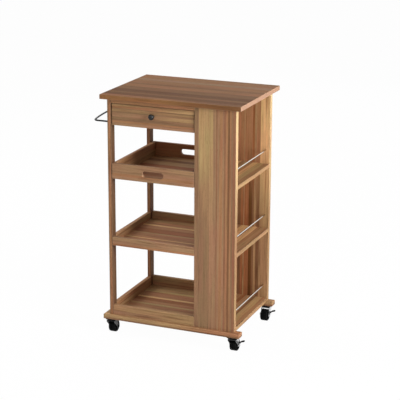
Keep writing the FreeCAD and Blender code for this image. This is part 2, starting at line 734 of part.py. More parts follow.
def base_screw(bar, upright, x, y):
    under = (x, y, base_under)
    drill(bar, base_screw_hole, dim.base_thick, under, "+z")
    drill(bar, base_head_radius + dim.fit_gap, dim.base_screw_head_thick, under, "+z")
    drill(upright, base_screw_hole, base_screw_bite + dim.hole_end_gap, (x, y, base_top), "+z")
    screw = new_body(f"base_screw_{len(base_screws)}", under, False)
    add_cylinder(screw, base_head_radius, dim.base_screw_head_thick, under, "+z")
    add_cylinder(screw, base_screw_radius, dim.base_thick + base_screw_bite, under, "+z")
    base_screws.append(screw)


for bar, post, panel, y in (
    (front_bar, front_post, front_panel, -base_screw_y),
    (rear_bar, rear_post, rear_panel, base_screw_y),
):
    base_screw(bar, post, post_middle, y)
    base_screw(bar, divider, divider_middle, y)
    base_screw(bar, panel, panel_middle, y)
group("base_screws", base_screws)

# Casters: plates and kingpins fixed to the base, forks that swivel, wheels that turn
kingpin_radius = dim.kingpin_diameter / 2
axle_radius = dim.axle_diameter / 2
boss_radius = dim.fork_boss_diameter / 2
caster_screw_radius = dim.caster_screw_diameter / 2
caster_screw_bite = dim.base_thick - dim.caster_screw_cover
plates = []
kingpins = []
caster_screws = []


def caster_plate(bar, x, y):
    plate_corner = (x - dim.plate_length / 2, y - dim.plate_depth / 2, plate_under)
    plate_size = (dim.plate_length, dim.plate_depth, dim.plate_thick)
    plate = board(f"caster_plate_{len(plates)}", plate_size, plate_corner, None, False)
    add_cylinder(plate, dim.race_diameter / 2, dim.race_depth, (x, y, plate_under), "-z")
    race_end = (x, y, plate_under - dim.race_depth)
    drill(plate, kingpin_radius + dim.fit_gap, dim.race_depth + dim.plate_thick, race_end, "+z")
    plates.append(plate)
    for side_x in (-1, 1):
        for side_y in (-1, 1):
            screw_x = x + side_x * (dim.plate_length / 2 - dim.plate_screw_inset)
            screw_y = y + side_y * (dim.plate_depth / 2 - dim.plate_screw_inset)
            caster_screw(bar, plate, screw_x, screw_y)


def caster_screw(bar, plate, x, y):
    under = (x, y, plate_under)
    hole = caster_screw_radius + dim.fit_gap
    drill(plate, hole, dim.plate_thick, under, "+z")
    drill(bar, hole, caster_screw_bite + dim.hole_end_gap, (x, y, base_under), "+z")
    screw = new_body(f"caster_screw_{len(caster_screws)}", under, False)
    add_cylinder(screw, caster_screw_radius, dim.plate_thick + caster_screw_bite, under, "+z")
    add_cylinder(screw, dim.caster_screw_head_diameter / 2, dim.caster_screw_head_thick, under, "-z")
    caster_screws.append(screw)


def caster_kingpin(x, y):
    head_top = (x, y, kingpin_head_top)
    pin = new_body(f"kingpin_{len(kingpins)}", head_top, False)
    add_cylinder(pin, kingpin_radius, base_under - kingpin_head_top, head_top, "+z")
    add_cylinder(pin, dim.kingpin_head_diameter / 2, dim.kingpin_head_thick, head_top, "-z")
    kingpins.append(pin)


def draw_fork(sketch, lead):
    half_crown = dim.fork_crown_length / 2
    corners = [
        (-half_crown, crown_top),
        (half_crown, crown_top),
        (dim.caster_trail + boss_radius, axle_level),
        (dim.caster_trail - boss_radius, axle_level),
        (-half_crown, crown_top - dim.fork_shoulder),
    ]
    outline(sketch, [(lead * along, level) for along, level in corners])


def caster_fork(label, x, y, lead):
    fork = new_body(label + "_fork", (x, y, zero))
    sketch = new_sketch(fork, "YZ_Plane")
    draw_fork(sketch, lead)
    pad = fork.newObject("PartDesign::Pad", label + "_fork_pad")
    pad.Profile = sketch
    pad.SideType = "Symmetric"
    bind(pad, "Length", 2 * fork_half)
    left_end = (x - fork_half, y + lead * dim.caster_trail, axle_level)
    add_cylinder(fork, boss_radius, 2 * fork_half, left_end, "+x")
    wheel_room = dim.caster_trail + dim.wheel_diameter
    cut_block(fork, (2 * fork_inner, 2 * wheel_room, crown_under), (x - fork_inner, y - wheel_room, zero))
    drill(fork, axle_radius + dim.fit_gap, 2 * fork_half, left_end, "+x")
    drill(fork, kingpin_radius + dim.fit_gap, dim.fork_metal, (x, y, crown_under), "+z")
    return fork


def caster_axle(label, x, y):
    axle = new_body(label + "_axle", (x, y, axle_level))
    head_start = fork_half + dim.fit_gap
    half_run = head_start + dim.axle_head_thick
    add_cylinder(axle, axle_radius, 2 * half_run, (x - half_run, y, axle_level), "+x")
    add_hexagon(axle, dim.axle_head_size, dim.axle_head_thick, (x - head_start, y, axle_level), "-x")
    add_hexagon(axle, dim.axle_head_size, dim.axle_head_thick, (x + head_start, y, axle_level), "+x")


def draw_wheel(sketch):
    half_hub = fork_inner - dim.running_gap
    half_rim = dim.wheel_width / 2
    half_web = half_rim - dim.wheel_dish
    hub_radius = dim.wheel_hub_diameter / 2
    tread_radius = dim.wheel_diameter / 2
    rim_radius = tread_radius - dim.wheel_rim
    right_side = [
        (half_rim, tread_radius),
        (half_rim, rim_radius),
        (half_web, rim_radius),
        (half_web, hub_radius),
        (half_hub, hub_radius),
        (half_hub, axle_radius + dim.fit_gap),
    ]
    left_side = [(-across, radius) for across, radius in reversed(right_side)]
    outline(sketch, right_side + left_side)


def tread_edges(shape):
    tread_radius = dim.wheel_diameter.value / 2
    names = []
    for index, edge in enumerate(shape.Edges, 1):
        if isinstance(edge.Curve, Part.Circle):
            if math.isclose(edge.Curve.Radius, tread_radius, rel_tol=1e-4):
                names.append(f"Edge{index}")
    return names


def caster_wheel(label, x, y):
    wheel = new_body(label + "_wheel", (x, y, axle_level))
    sketch = new_sketch(wheel, "XY_Plane")
    draw_wheel(sketch)
    turned = wheel.newObject("PartDesign::Revolution", label + "_wheel_turned")
    turned.Profile = sketch
    turned.ReferenceAxis = (sketch, ["H_Axis"])
    doc.recompute()
    rounding = wheel.newObject("PartDesign::Fillet", label + "_wheel_round")
    rounding.Base = (turned, tread_edges(turned.Shape))
    bind(rounding, "Radius", dim.wheel_round)


# Brake lever: a tab on a barrel that tips between two ears on the fork
def brake_lever(label, fork, x, y):
    hinge_level = axle_level + dim.lever_rise
    hinge = (x + lever_axis, y, hinge_level)
    half_width = dim.lever_width / 2
    ear_gap = half_width + dim.running_gap
    half_pin = ear_gap + dim.ear_thick
    pin_radius = dim.lever_pin_diameter / 2
    pin_start = (hinge[0], y - half_pin, hinge_level)
    ear_size = (dim.fork_metal + dim.ear_length, dim.ear_thick, dim.ear_height)
    ear_level = hinge_level - dim.ear_height / 2
    add_block(fork, ear_size, (x + fork_inner, y - half_pin, ear_level))
    add_block(fork, ear_size, (x + fork_inner, y + ear_gap, ear_level))
    drill(fork, pin_radius + dim.fit_gap, 2 * half_pin, pin_start, "+y")

    lever = new_body(label + "_brake", hinge)
    upward = FreeCAD.Rotation(FreeCAD.Vector(0, -1, 0), dim.lever_tilt.value)
    lever.Placement = FreeCAD.Placement(FreeCAD.Vector(), upward)
    bind(lever, "Placement.Rotation.Angle", dim.lever_tilt)
    place(lever, hinge)
    barrel_start = (hinge[0], y - half_width, hinge_level)
    add_cylinder(lever, dim.lever_barrel_diameter / 2, dim.lever_width, barrel_start, "+y")
    add_cylinder(lever, pin_radius, 2 * half_pin, pin_start, "+y")
    tab_size = (dim.lever_length, dim.lever_width, dim.lever_thick)
    add_block(lever, tab_size, (hinge[0], y - half_width, hinge_level - dim.lever_thick / 2))


# The front casters trail to the rear and the rear ones to the front, and the right pair has brakes
for end, bar, lead in (("front", front_bar, 1), ("rear", rear_bar, -1)):
    for hand, side in (("left", -1), ("right", 1)):
        caster_label = f"{end}_{hand}"
        caster_x = cart_middle + side * caster_side
        caster_y = -lead * bar_middle
        wheel_y = caster_y + lead * dim.caster_trail
        caster_plate(bar, caster_x, caster_y)
        caster_kingpin(caster_x, caster_y)
        caster_axle(caster_label, caster_x, wheel_y)
        caster_wheel(caster_label, caster_x, wheel_y)
        caster_body = caster_fork(caster_label, caster_x, caster_y, lead)
        if hand == "right":
            brake_lever(caster_label, caster_body, caster_x, wheel_y - lead * dim.lever_offset)
group("caster_plates", plates)
group("caster_kingpins", kingpins)
group("caster_screws", caster_screws)

# Check every object before anything is written
doc.recompute()
for item in doc.Objects:
    if "Invalid" in item.State or "Error" in item.State:
        raise RuntimeError(f"{item.Label} could not be built: {item.State}")
for node in nodes:
    if node.Shape.isNull() or not node.Shape.isValid():
        raise RuntimeError(f"{node.Label} has no valid shape")

os.makedirs("parts", exist_ok=True)
for node in nodes:
    node.Shape.exportStep(f"parts/{node.Label}.step")
    print(f"{node.Label}: {len(node.Shape.Solids)} solids, {node.Shape.Volume / 1000:.1f} cm3")
print(f"{len(nodes)} nodes")
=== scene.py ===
# %% [markdown]
# # A kitchen serving cart in glued hardwood
# The cart is a carcass of lacquered boards on four casters, with a drawer, a tray, open shelves, a
# side rack with guard rods and a towel rail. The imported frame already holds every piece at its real
# size. This lesson sets up the camera and the light, gives each piece its finish, and models the
# small pieces whose shape needs more than the frame has: the knob, the wheels and the brake pedals.

# %% Load the frame
import math

import bpy
from mathutils import Matrix, Vector


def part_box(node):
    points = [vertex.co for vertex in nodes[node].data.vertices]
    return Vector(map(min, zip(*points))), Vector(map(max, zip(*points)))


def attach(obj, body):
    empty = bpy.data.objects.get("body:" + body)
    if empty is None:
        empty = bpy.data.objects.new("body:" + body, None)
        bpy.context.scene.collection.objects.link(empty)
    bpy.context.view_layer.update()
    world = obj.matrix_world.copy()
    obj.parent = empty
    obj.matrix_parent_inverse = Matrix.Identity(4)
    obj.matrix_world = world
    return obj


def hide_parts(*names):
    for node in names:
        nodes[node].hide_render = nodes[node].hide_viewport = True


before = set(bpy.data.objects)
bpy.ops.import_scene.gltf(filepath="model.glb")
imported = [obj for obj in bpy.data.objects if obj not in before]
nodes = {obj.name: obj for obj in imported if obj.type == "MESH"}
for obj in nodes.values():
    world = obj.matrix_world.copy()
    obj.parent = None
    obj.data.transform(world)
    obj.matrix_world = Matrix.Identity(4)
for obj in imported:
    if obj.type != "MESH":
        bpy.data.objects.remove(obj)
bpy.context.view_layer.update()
bpy.ops.object.select_all(action="DESELECT")
print("pieces in the frame:", len(nodes))

# %% [markdown]
# ## Camera
# The picture was taken from the front right, looking down a little, with a long lens, so upright
# boards stay nearly parallel. The spot and the angles come from the corners of the boards in the
# picture. The lens follows from the focal length in pixels and the width of the picture.

# %% Camera
CAMERA_SPOT = Vector((1.8661, -4.4146, 1.8789))
CAMERA_AZIMUTH = math.radians(22.248)
CAMERA_ELEVATION = math.radians(16.220)
CAMERA_ROLL = math.radians(0.256)
FOCAL_PIXELS = 1370.6
IMAGE_PIXELS = 400

bpy.ops.object.camera_add(location=CAMERA_SPOT)
camera = bpy.context.object
turn = Matrix.Rotation(CAMERA_AZIMUTH, 3, "Z")
tilt = Matrix.Rotation(math.pi / 2 - CAMERA_ELEVATION, 3, "X")
roll = Matrix.Rotation(CAMERA_ROLL, 3, "Z")
camera.rotation_euler = (turn @ tilt @ roll).to_euler()
camera.data.lens = camera.data.sensor_width * FOCAL_PIXELS / IMAGE_PIXELS
bpy.context.scene.camera = camera
print("lens: %.1f mm" % camera.data.lens)

# %% [markdown]
# ## Node helpers
# Every finish below is a tree of shader nodes. A few short functions save most of the wiring: each
# adds one node, feeds its sockets with a number or with the output of another node, and hands back
# its own output.

# %% Values and vectors
def feed(tree, socket, value):
    if isinstance(value, bpy.types.NodeSocket):
        tree.links.new(value, socket)
    else:
        socket.default_value = value


def maths(tree, operation, first, second=0.0):
    node = tree.nodes.new("ShaderNodeMath")
    node.operation = operation
    feed(tree, node.inputs[0], first)
    feed(tree, node.inputs[1], second)
    return node.outputs[0]


def times(tree, first, second):
    return maths(tree, "MULTIPLY", first, second)


def total(tree, *values):
    result = values[0]
    for value in values[1:]:
        result = maths(tree, "ADD", result, value)
    return result


def vector_of(tree, x, y, z):
    node = tree.nodes.new("ShaderNodeCombineXYZ")
    for socket, value in zip(node.inputs, (x, y, z)):
        feed(tree, socket, value)
    return node.outputs["Vector"]


def parts_of(tree, vector):
    node = tree.nodes.new("ShaderNodeSeparateXYZ")
    feed(tree, node.inputs["Vector"], vector)
    return node.outputs


print("value helpers are ready")

# %% Noise, ranges and colours
MIX_FACTOR, MIX_FIRST, MIX_SECOND, MIX_RESULT = 0, 6, 7, 2


def noise(tree, vector, scale, detail=2.0, roughness=0.5):
    node = tree.nodes.new("ShaderNodeTexNoise")
    feed(tree, node.inputs["Vector"], vector)
    feed(tree, node.inputs["Scale"], scale)
    node.inputs["Detail"].default_value = detail
    node.inputs["Roughness"].default_value = roughness
    return node.outputs["Fac"]


def span(tree, value, low, high, to_low=0.0, to_high=1.0, interpolation="SMOOTHSTEP"):
    node = tree.nodes.new("ShaderNodeMapRange")
    node.interpolation_type = interpolation
    feed(tree, node.inputs["Value"], value)
    feed(tree, node.inputs["From Min"], low)
    feed(tree, node.inputs["From Max"], high)
    feed(tree, node.inputs["To Min"], to_low)
    feed(tree, node.inputs["To Max"], to_high)
    return node.outputs["Result"]


def tint(tree, factor, colour, second, mode="MULTIPLY"):
    node = tree.nodes.new("ShaderNodeMix")
    node.data_type = "RGBA"
    node.blend_type = mode
    feed(tree, node.inputs[MIX_FACTOR], factor)
    feed(tree, node.inputs[MIX_FIRST], colour)
    feed(tree, node.inputs[MIX_SECOND], second)
    return node.outputs[MIX_RESULT]


print("colour helpers are ready")

# %% Groups and materials
def new_group(name, inputs, outputs):
    group = bpy.data.node_groups.new(name, "ShaderNodeTree")
    for socket, kind in inputs.items():
        group.interface.new_socket(socket, in_out="INPUT", socket_type=kind)
    for socket, kind in outputs.items():
        group.interface.new_socket(socket, in_out="OUTPUT", socket_type=kind)
    entry = group.nodes.new("NodeGroupInput")
    ending = group.nodes.new("NodeGroupOutput")
    return group, entry.outputs, ending.inputs


def use_group(tree, group, values):
    node = tree.nodes.new("ShaderNodeGroup")
    node.node_tree = group
    for name, value in values.items():
        feed(tree, node.inputs[name], value)
    return node.outputs


def new_finish(name):
    material = bpy.data.materials.new(name)
    material.use_nodes = True
    tree = material.node_tree
    return material, tree, tree.nodes["Principled BSDF"].inputs


def dress(node_name, material):
    for slot in nodes[node_name].material_slots:
        slot.material = material


print("material helpers are ready")

# %% [markdown]
# ## Floor and sky
# A catalogue picture has a white ground. What the camera and the metal see behind the cart is white,
# while the light that the sky and the floor shed on the cart is weaker, so that the wood keeps its
# own colours. Light Path tells the two apart.

# %% Sky and floor
WHITE = (1.0, 1.0, 1.0, 1.0)
SKY_STRENGTH = 0.34
FLOOR_SIZE = 60.0
FLOOR_COLOUR = (0.75, 0.75, 0.75, 1.0)
FLOOR_ROUGHNESS = 0.9
FLOOR_GLOW = 0.975


def seen_directly(tree):
    path = tree.nodes.new("ShaderNodeLightPath").outputs
    mirrored = maths(tree, "MAXIMUM", path["Is Glossy Ray"], path["Is Transmission Ray"])
    return maths(tree, "MAXIMUM", path["Is Camera Ray"], mirrored)


world = bpy.data.worlds.new("studio")
world.use_nodes = True
bpy.context.scene.world = world
sky = world.node_tree
sky.nodes["Background"].inputs["Color"].default_value = WHITE
sky_strength = span(sky, seen_directly(sky), 0.0, 1.0, SKY_STRENGTH, 1.0, "LINEAR")
feed(sky, sky.nodes["Background"].inputs["Strength"], sky_strength)

bpy.ops.mesh.primitive_plane_add(size=FLOOR_SIZE)
floor = bpy.context.object
floor.name = "studio_floor"
pale_floor, ground, floor_shader = new_finish("pale_floor")
floor_shader["Base Color"].default_value = FLOOR_COLOUR
floor_shader["Roughness"].default_value = FLOOR_ROUGHNESS
glow = ground.nodes.new("ShaderNodeEmission")
glow.inputs["Color"].default_value = WHITE
mixer = ground.nodes.new("ShaderNodeMixShader")
feed(ground, mixer.inputs["Fac"], times(ground, seen_directly(ground), FLOOR_GLOW))
feed(ground, mixer.inputs[1], ground.nodes["Principled BSDF"].outputs["BSDF"])
feed(ground, mixer.inputs[2], glow.outputs["Emission"])
feed(ground, ground.nodes["Material Output"].inputs["Surface"], mixer.outputs["Shader"])
floor.data.materials.append(pale_floor)
bpy.context.scene.view_settings.view_transform = "Standard"
print("floor:", floor.name)

# %% [markdown]
# ## Lamps
# The edges that face right are by far the brightest in the picture, about twice as bright as the
# fronts, so the strongest lamp stands to the right, lower than the others. A second one at the left
# shines through the open end of the cart onto the shelves, and weak ones at the front and the back
# open the shadows. All four are large, as soft boxes in a studio are, so that no shadow has a hard
# edge.

# %% Lamps
LAMP_TARGET = Vector((0.0, 0.0, 0.45))


def lamp(name, spot, size, watts):
    bpy.ops.object.light_add(type="AREA", location=spot)
    light = bpy.context.object
    light.name = name
    light.data.size = size
    light.data.energy = watts
    light.rotation_euler = (Vector(spot) - LAMP_TARGET).to_track_quat("Z", "Y").to_euler()


lamp("right_lamp", (3.2, -1.1, 1.5), 1.6, 170.0)
lamp("left_lamp", (-3.0, 0.3, 2.3), 2.0, 80.0)
lamp("fill_lamp", (0.4, -4.0, 2.0), 2.2, 24.0)
lamp("back_lamp", (0.6, 3.6, 2.2), 4.0, 28.0)

# %% [markdown]
# ## Wood grain
# The boards are glued up from narrow strips of hardwood. Each strip has its own tone, broad clouds
# of colour, streaks along its length, thin dark veins, faint growth lines and short dark pores. The
# wood is the same everywhere, so its grain is one node group. It takes a place in the strip, counted
# along, across and through the board, the strip's tone, how strongly the board is figured, and masks
# for its ends and edges. It gives back a colour, a roughness and a height. Noise that is stretched
# along the strip makes the streaks, because wood fibres are long.

# %% Wood grain: places
STREAK_STRETCH = 0.045
PORE_STRETCH = 0.08
CLOUD_STRETCH = 0.25
STRIP_SHIFT = 7.0

grain_inputs = {
    "Along": "NodeSocketFloat",
    "Across": "NodeSocketFloat",
    "Through": "NodeSocketFloat",
    "Shift": "NodeSocketFloat",
    "Ends": "NodeSocketFloat",
    "Edges": "NodeSocketFloat",
    "Figure": "NodeSocketFloat",
    "Tone": "NodeSocketColor",
}
look_outputs = {
    "Color": "NodeSocketColor",
    "Roughness": "NodeSocketFloat",
    "Height": "NodeSocketFloat",
}
grain, given, made = new_group("strip_grain", grain_inputs, look_outputs)
strip_shift = times(grain, given["Shift"], STRIP_SHIFT)
along = total(grain, given["Along"], strip_shift)
across = total(grain, given["Across"], strip_shift)


def stretched(stretch):
    return vector_of(grain, times(grain, along, stretch), across, given["Through"])


print("grain sockets:", len(grain.interface.items_tree))

# %% Wood grain: patterns
CLOUD_SCALE = 24.0
STREAK_SCALE = 55.0
THREAD_SCALE = 150.0
FIBRE_SCALE = 330.0
PORE_SCALE = 1100.0
VEIN_START, VEIN_FULL = 0.60, 0.68
PORE_START, PORE_FULL = 0.60, 0.70
RINGS_PER_METRE = 95.0
RING_LEAN = 0.5
RING_BEND = 5.0
BEND_SCALE = 6.0

cloud = noise(grain, stretched(CLOUD_STRETCH), CLOUD_SCALE)
streak = noise(grain, stretched(STREAK_STRETCH), STREAK_SCALE, 3.0)
thread = noise(grain, stretched(STREAK_STRETCH), THREAD_SCALE, 2.0)
vein = span(grain, thread, VEIN_START, VEIN_FULL)
fibre = noise(grain, stretched(STREAK_STRETCH), FIBRE_SCALE, 3.0, 0.6)
specks = noise(grain, stretched(PORE_STRETCH), PORE_SCALE, 1.0)
pores = span(grain, specks, PORE_START, PORE_FULL)
bend = times(grain, noise(grain, stretched(CLOUD_STRETCH), BEND_SCALE), RING_BEND)
ring_place = total(grain, across, times(grain, given["Through"], RING_LEAN))
ring_turns = total(grain, times(grain, ring_place, RINGS_PER_METRE), bend)
rings = maths(grain, "SINE", times(grain, ring_turns, 2 * math.pi))
print("pattern nodes:", len(grain.nodes))

# %% Wood grain: looks
WARM_TINT = (1.0, 0.91, 0.86, 1.0)
OLIVE_TINT = (0.97, 1.0, 0.88, 1.0)
RESIN_TINT = (0.66, 0.54, 0.47, 1.0)
VEIN_TINT = (0.60, 0.47, 0.40, 1.0)
PORE_TINT = (0.48, 0.42, 0.38, 1.0)
# The end-grain tone below is pale: a painted highlight on the ends of the boards.
END_HIGHLIGHT_TONE = (0.35, 0.205, 0.135, 1.0)
# The edge tint below is a painted highlight on the rounded edges.
EDGE_HIGHLIGHT_TINT = (0.50, 0.34, 0.22, 1.0)
STREAK_SHADE, THREAD_SHADE, FIBRE_SHADE, RING_SHADE = 0.20, 0.22, 0.12, 0.04
RESIN_SHARE, VEIN_SHARE, PORE_SHARE, EDGE_HIGHLIGHT_SHARE = 0.6, 0.45, 0.45, 0.3
RESIN_START, RESIN_FULL = 0.58, 0.74
WARM_CLOUD, OLIVE_CLOUD = 0.35, 0.65
NOISE_LOW, NOISE_HIGH = 0.2, 0.8


def spread(pattern, low, high):
    return span(grain, pattern, NOISE_LOW, NOISE_HIGH, low, high, "LINEAR")


shade = total(
    grain,
    spread(streak, 1 - STREAK_SHADE, 1 + STREAK_SHADE),
    times(grain, spread(thread, THREAD_SHADE, -THREAD_SHADE), given["Figure"]),
    spread(fibre, -FIBRE_SHADE, FIBRE_SHADE),
    times(grain, rings, RING_SHADE),
)
resin = span(grain, streak, RESIN_START, RESIN_FULL, 0.0, RESIN_SHARE)
drawn_vein = times(grain, times(grain, vein, given["Figure"]), VEIN_SHARE)
olive = span(grain, cloud, WARM_CLOUD, OLIVE_CLOUD)
hue = tint(grain, olive, WARM_TINT, OLIVE_TINT, "MIX")
colour = tint(grain, 1.0, tint(grain, 1.0, given["Tone"], hue), shade)
colour = tint(grain, resin, colour, RESIN_TINT)
colour = tint(grain, drawn_vein, colour, VEIN_TINT)
colour = tint(grain, times(grain, pores, PORE_SHARE), colour, PORE_TINT)
# End-grain faces are mixed towards a pale tone, a painted highlight.
colour = tint(grain, given["Ends"], colour, END_HIGHLIGHT_TONE, "MIX")
# Rounded edges are mixed towards a paler tone, a painted highlight where they catch the light.
colour = tint(grain, times(grain, given["Edges"], EDGE_HIGHLIGHT_SHARE), colour, EDGE_HIGHLIGHT_TINT, "MIX")
feed(grain, made["Color"], colour)
print("colour nodes:", len(grain.nodes))

# %% Wood grain: gloss and relief
SMOOTHEST, ROUGHEST = 0.50, 0.66
PORE_ROUGHNESS, END_ROUGHNESS = 0.12, 0.10
FIBRE_HEIGHT, PORE_HEIGHT = 0.3, -0.8

roughness = total(
    grain,
    spread(fibre, SMOOTHEST, ROUGHEST),
    times(grain, pores, PORE_ROUGHNESS),
    times(grain, given["Ends"], END_ROUGHNESS),
)
relief = total(grain, times(grain, fibre, FIBRE_HEIGHT), times(grain, pores, PORE_HEIGHT))
feed(grain, made["Roughness"], roughness)
feed(grain, made["Height"], relief)
print("grain nodes:", len(grain.nodes))

# %% [markdown]
# ## Eased edges
# The edges of the boards are rounded by one or two millimetres, and a paler tone is painted on them,
# a painted highlight where the rounded edges catch the light. A flat face of a board points straight
# along one axis, and a rounded edge points between two axes, so the surface's own direction tells
# where the edges are.

# %% Edge group
FLAT_FACE, ROUND_EDGE = 0.97, 0.80

edges, given, made = new_group(
    "eased_edges", {"Direction": "NodeSocketVector"}, {"Edges": "NodeSocketFloat"}
)
sides = [maths(edges, "ABSOLUTE", part) for part in parts_of(edges, given["Direction"])]
largest = maths(edges, "MAXIMUM", maths(edges, "MAXIMUM", sides[0], sides[1]), sides[2])
feed(edges, made["Edges"], span(edges, largest, FLAT_FACE, ROUND_EDGE))
print("edge nodes:", len(edges.nodes))

# %% [markdown]
# ## Rows of strips
# A row such as "rose 13 russet 5" names each strip's tone and its width in millimetres, from the
# board's low side to its high side. A strip may change along its length: "rose>straw 20" is rose at
# its low end and straw at its high end. On the side rack's rear panel this change is painted shade,
# darker towards the bottom, and on both rack panels the narrow right-hand edge strip is a painted
# highlight that fades downwards. A colour ramp with hard steps holds the row. Its alpha carries a
# number that differs from strip to strip, which shifts the grain so that it doesn't run on from one
# strip into the next.

# %% Rows of strips
TONES = {
    # This pale tone is a painted highlight, used only on the lit right-hand edges of the rack's
    # panels.
    "cream": (0.50, 0.35, 0.20),
    "honey": (0.565, 0.36, 0.18),
    "straw": (0.38, 0.25, 0.125),
    "tan": (0.32, 0.19, 0.10),
    "clay": (0.30, 0.170, 0.100),
    "rose": (0.32, 0.160, 0.085),
    "taupe": (0.24, 0.138, 0.080),
    "russet": (0.25, 0.102, 0.047),
    "mauve": (0.245, 0.115, 0.068),
    "chestnut": (0.235, 0.110, 0.050),
    "umber": (0.18, 0.090, 0.048),
    "cocoa": (0.170, 0.082, 0.036),
    "bark": (0.112, 0.047, 0.016),
    "walnut": (0.12, 0.063, 0.036),
}
MILLIMETRE = 0.001
GOLDEN_SHARE = 0.618
WANDER_ACROSS, WANDER_ALONG, WANDER_SHARE = 40.0, 6.0, 0.3
CHANGE_START, CHANGE_END = 0.55, 0.95


def strip_ramp(tree, place, low, high, row):
    ramp = tree.nodes.new("ShaderNodeValToRGB")
    ramp.color_ramp.interpolation = "CONSTANT"
    stops = ramp.color_ramp.elements
    stops.remove(stops[1])
    start = 0.0
    for index, (tone, width) in enumerate(row):
        stop = stops[0] if index == 0 else stops.new(start / (high - low))
        stop.color = (*TONES[tone], index * GOLDEN_SHARE % 1)
        start += width * MILLIMETRE
    feed(tree, ramp.inputs["Fac"], span(tree, place, low, high, interpolation="LINEAR"))
    return ramp.outputs


def strip_tones(tree, place, low, high, along, across, row):
    words = row.split()
    widths = [float(width) for width in words[1::2]]
    run, side = "XYZ".index(along), "XYZ".index(across)
    bounds = low[side], high[side]
    low_row = [tone.split(">")[0] for tone in words[::2]]
    high_row = [tone.split(">")[-1] for tone in words[::2]]
    ramp = strip_ramp(tree, place[across], *bounds, zip(low_row, widths))
    if low_row == high_row:
        return ramp["Color"], ramp["Alpha"]
    other = strip_ramp(tree, place[across], *bounds, zip(high_row, widths))
    length = high[run] - low[run]
    sideways = times(tree, place[across], WANDER_ACROSS)
    wander = vector_of(tree, sideways, times(tree, place[along], WANDER_ALONG), 0.0)
    detour = times(tree, noise(tree, wander, 1.0), WANDER_SHARE * length)
    spot = total(tree, place[along], detour)
    change = span(tree, spot, low[run] + CHANGE_START * length, low[run] + CHANGE_END * length)
    return tint(tree, change, ramp["Color"], other["Color"], "MIX"), ramp["Alpha"]


print("tones:", ", ".join(TONES))

# %% [markdown]
# ## Board finish
# A board's finish needs which way its strips run, across which way they are glued side by side, and
# the row of strips. Figure says how strongly its grain is drawn. The faces that point along the
# strips show end grain, which is a little duller, and they are painted paler too, a painted highlight
# like the light on the bright right-hand ends, most of all at the worktop. The lacquer is matt, so
# the wood has little shine of its own.

# %% Board finish
TURNED_AWAY, FULLY_FACING = 0.6, 0.9
GRAIN_RELIEF, GRAIN_DEPTH = 0.35, 0.0003
LACQUER_SHINE = 0.07
FULL_FIGURE, QUIET_FIGURE, CALM_FIGURE = 1.0, 0.7, 0.35
STRONG_END_HIGHLIGHT, USUAL_END_HIGHLIGHT, FAINT_END_HIGHLIGHT = 0.9, 0.25, 0.05


def wood(node_name, along, across, row, figure=FULL_FIGURE, end_highlight=USUAL_END_HIGHLIGHT):
    material, tree, shader = new_finish(node_name + "_wood")
    through = ({"X", "Y", "Z"} - {along, across}).pop()
    spot = tree.nodes.new("ShaderNodeTexCoord").outputs
    place = parts_of(tree, spot["Object"])
    facing = parts_of(tree, spot["Normal"])
    towards_end = maths(tree, "ABSOLUTE", facing[along])
    end_grain = span(tree, towards_end, TURNED_AWAY, FULLY_FACING)
    tone, shift = strip_tones(tree, place, *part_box(node_name), along, across, row)
    looks = use_group(tree, grain, {
        "Along": place[along],
        "Across": place[across],
        "Through": place[through],
        "Shift": shift,
        "Ends": times(tree, end_grain, end_highlight),
        "Edges": use_group(tree, edges, {"Direction": spot["Normal"]})["Edges"],
        "Figure": figure,
        "Tone": tone,
    })
    bump = tree.nodes.new("ShaderNodeBump")
    bump.inputs["Strength"].default_value = GRAIN_RELIEF
    bump.inputs["Distance"].default_value = GRAIN_DEPTH
    feed(tree, bump.inputs["Height"], looks["Height"])
    feed(tree, shader["Base Color"], looks["Color"])
    feed(tree, shader["Roughness"], looks["Roughness"])
    feed(tree, shader["Normal"], bump.outputs["Normal"])
    shader["Specular IOR Level"].default_value = LACQUER_SHINE
    dress(node_name, material)


def wooden_boards(table):
    for node_name, plan in table.items():
        wood(node_name, *plan)
    print("boards:", ", ".join(table))


print("board finish is ready")

# %% [markdown]
# ## Worktop, uprights and base
# The worktop and the base bars have their strips along the cart, and the posts and panels have them
# upright, because a board is stiff along its grain. The worktop is painted the darkest, a painted
# shade for the weak light from above, and lighter towards the back, a painted sheen where it is seen
# at a grazing angle. The panels of the side rack are the liveliest, with olive, rose and deep red
# strips.

# %% Worktop and uprights
wooden_boards({
    # The worktop's dark strips are painted shade, and the paler ones at the back a painted sheen.
    "top_board": (
        "X", "Y",
        "chestnut>cocoa 24 bark 36 cocoa 22 bark 44 cocoa 52 chestnut 40 cocoa 26"
        " chestnut 50 taupe 34 chestnut 70",
        QUIET_FIGURE, STRONG_END_HIGHLIGHT,
    ),
    # The front panel's last narrow strip is its right-hand edge, painted pale at the top and tan
    # lower down: a painted highlight that fades downwards.
    "front_panel": (
        "Z", "X",
        "taupe>straw 20 taupe>straw 20 clay>straw 13 clay 12 mauve 4 clay 8 rose 11"
        " clay 6 mauve 6 rose 8 umber 7 rose 6 taupe 6 mauve 9 tan>cream 3",
        CALM_FIGURE,
    ),
    # The rear panel's strips are painted darker towards the bottom, a painted shade, and its last
    # narrow strip is its right-hand edge, a painted highlight that fades downwards.
    "rear_panel": (
        "Z", "X",
        "umber>rose 28 russet>rose 10 tan 5 russet>rose 17 bark>rose 12 umber>russet 8"
        " tan 8 umber>rose 14 tan>honey 35 tan>cream 2",
    ),
    "divider_panel": (
        "Z", "Y",
        "taupe 28 rose 44 russet 30 tan 46 umber 34 russet 40 rose 52 tan 38 umber 51",
    ),
    # Each post's last narrow strip covers its right-hand face, painted dark as a painted shade where
    # the panels keep the light off.
    "front_left_post": ("Z", "X", "taupe 4 rose 8 walnut 2"),
    "rear_left_post": ("Z", "X", "russet 4 rose 8 umber 2"),
})

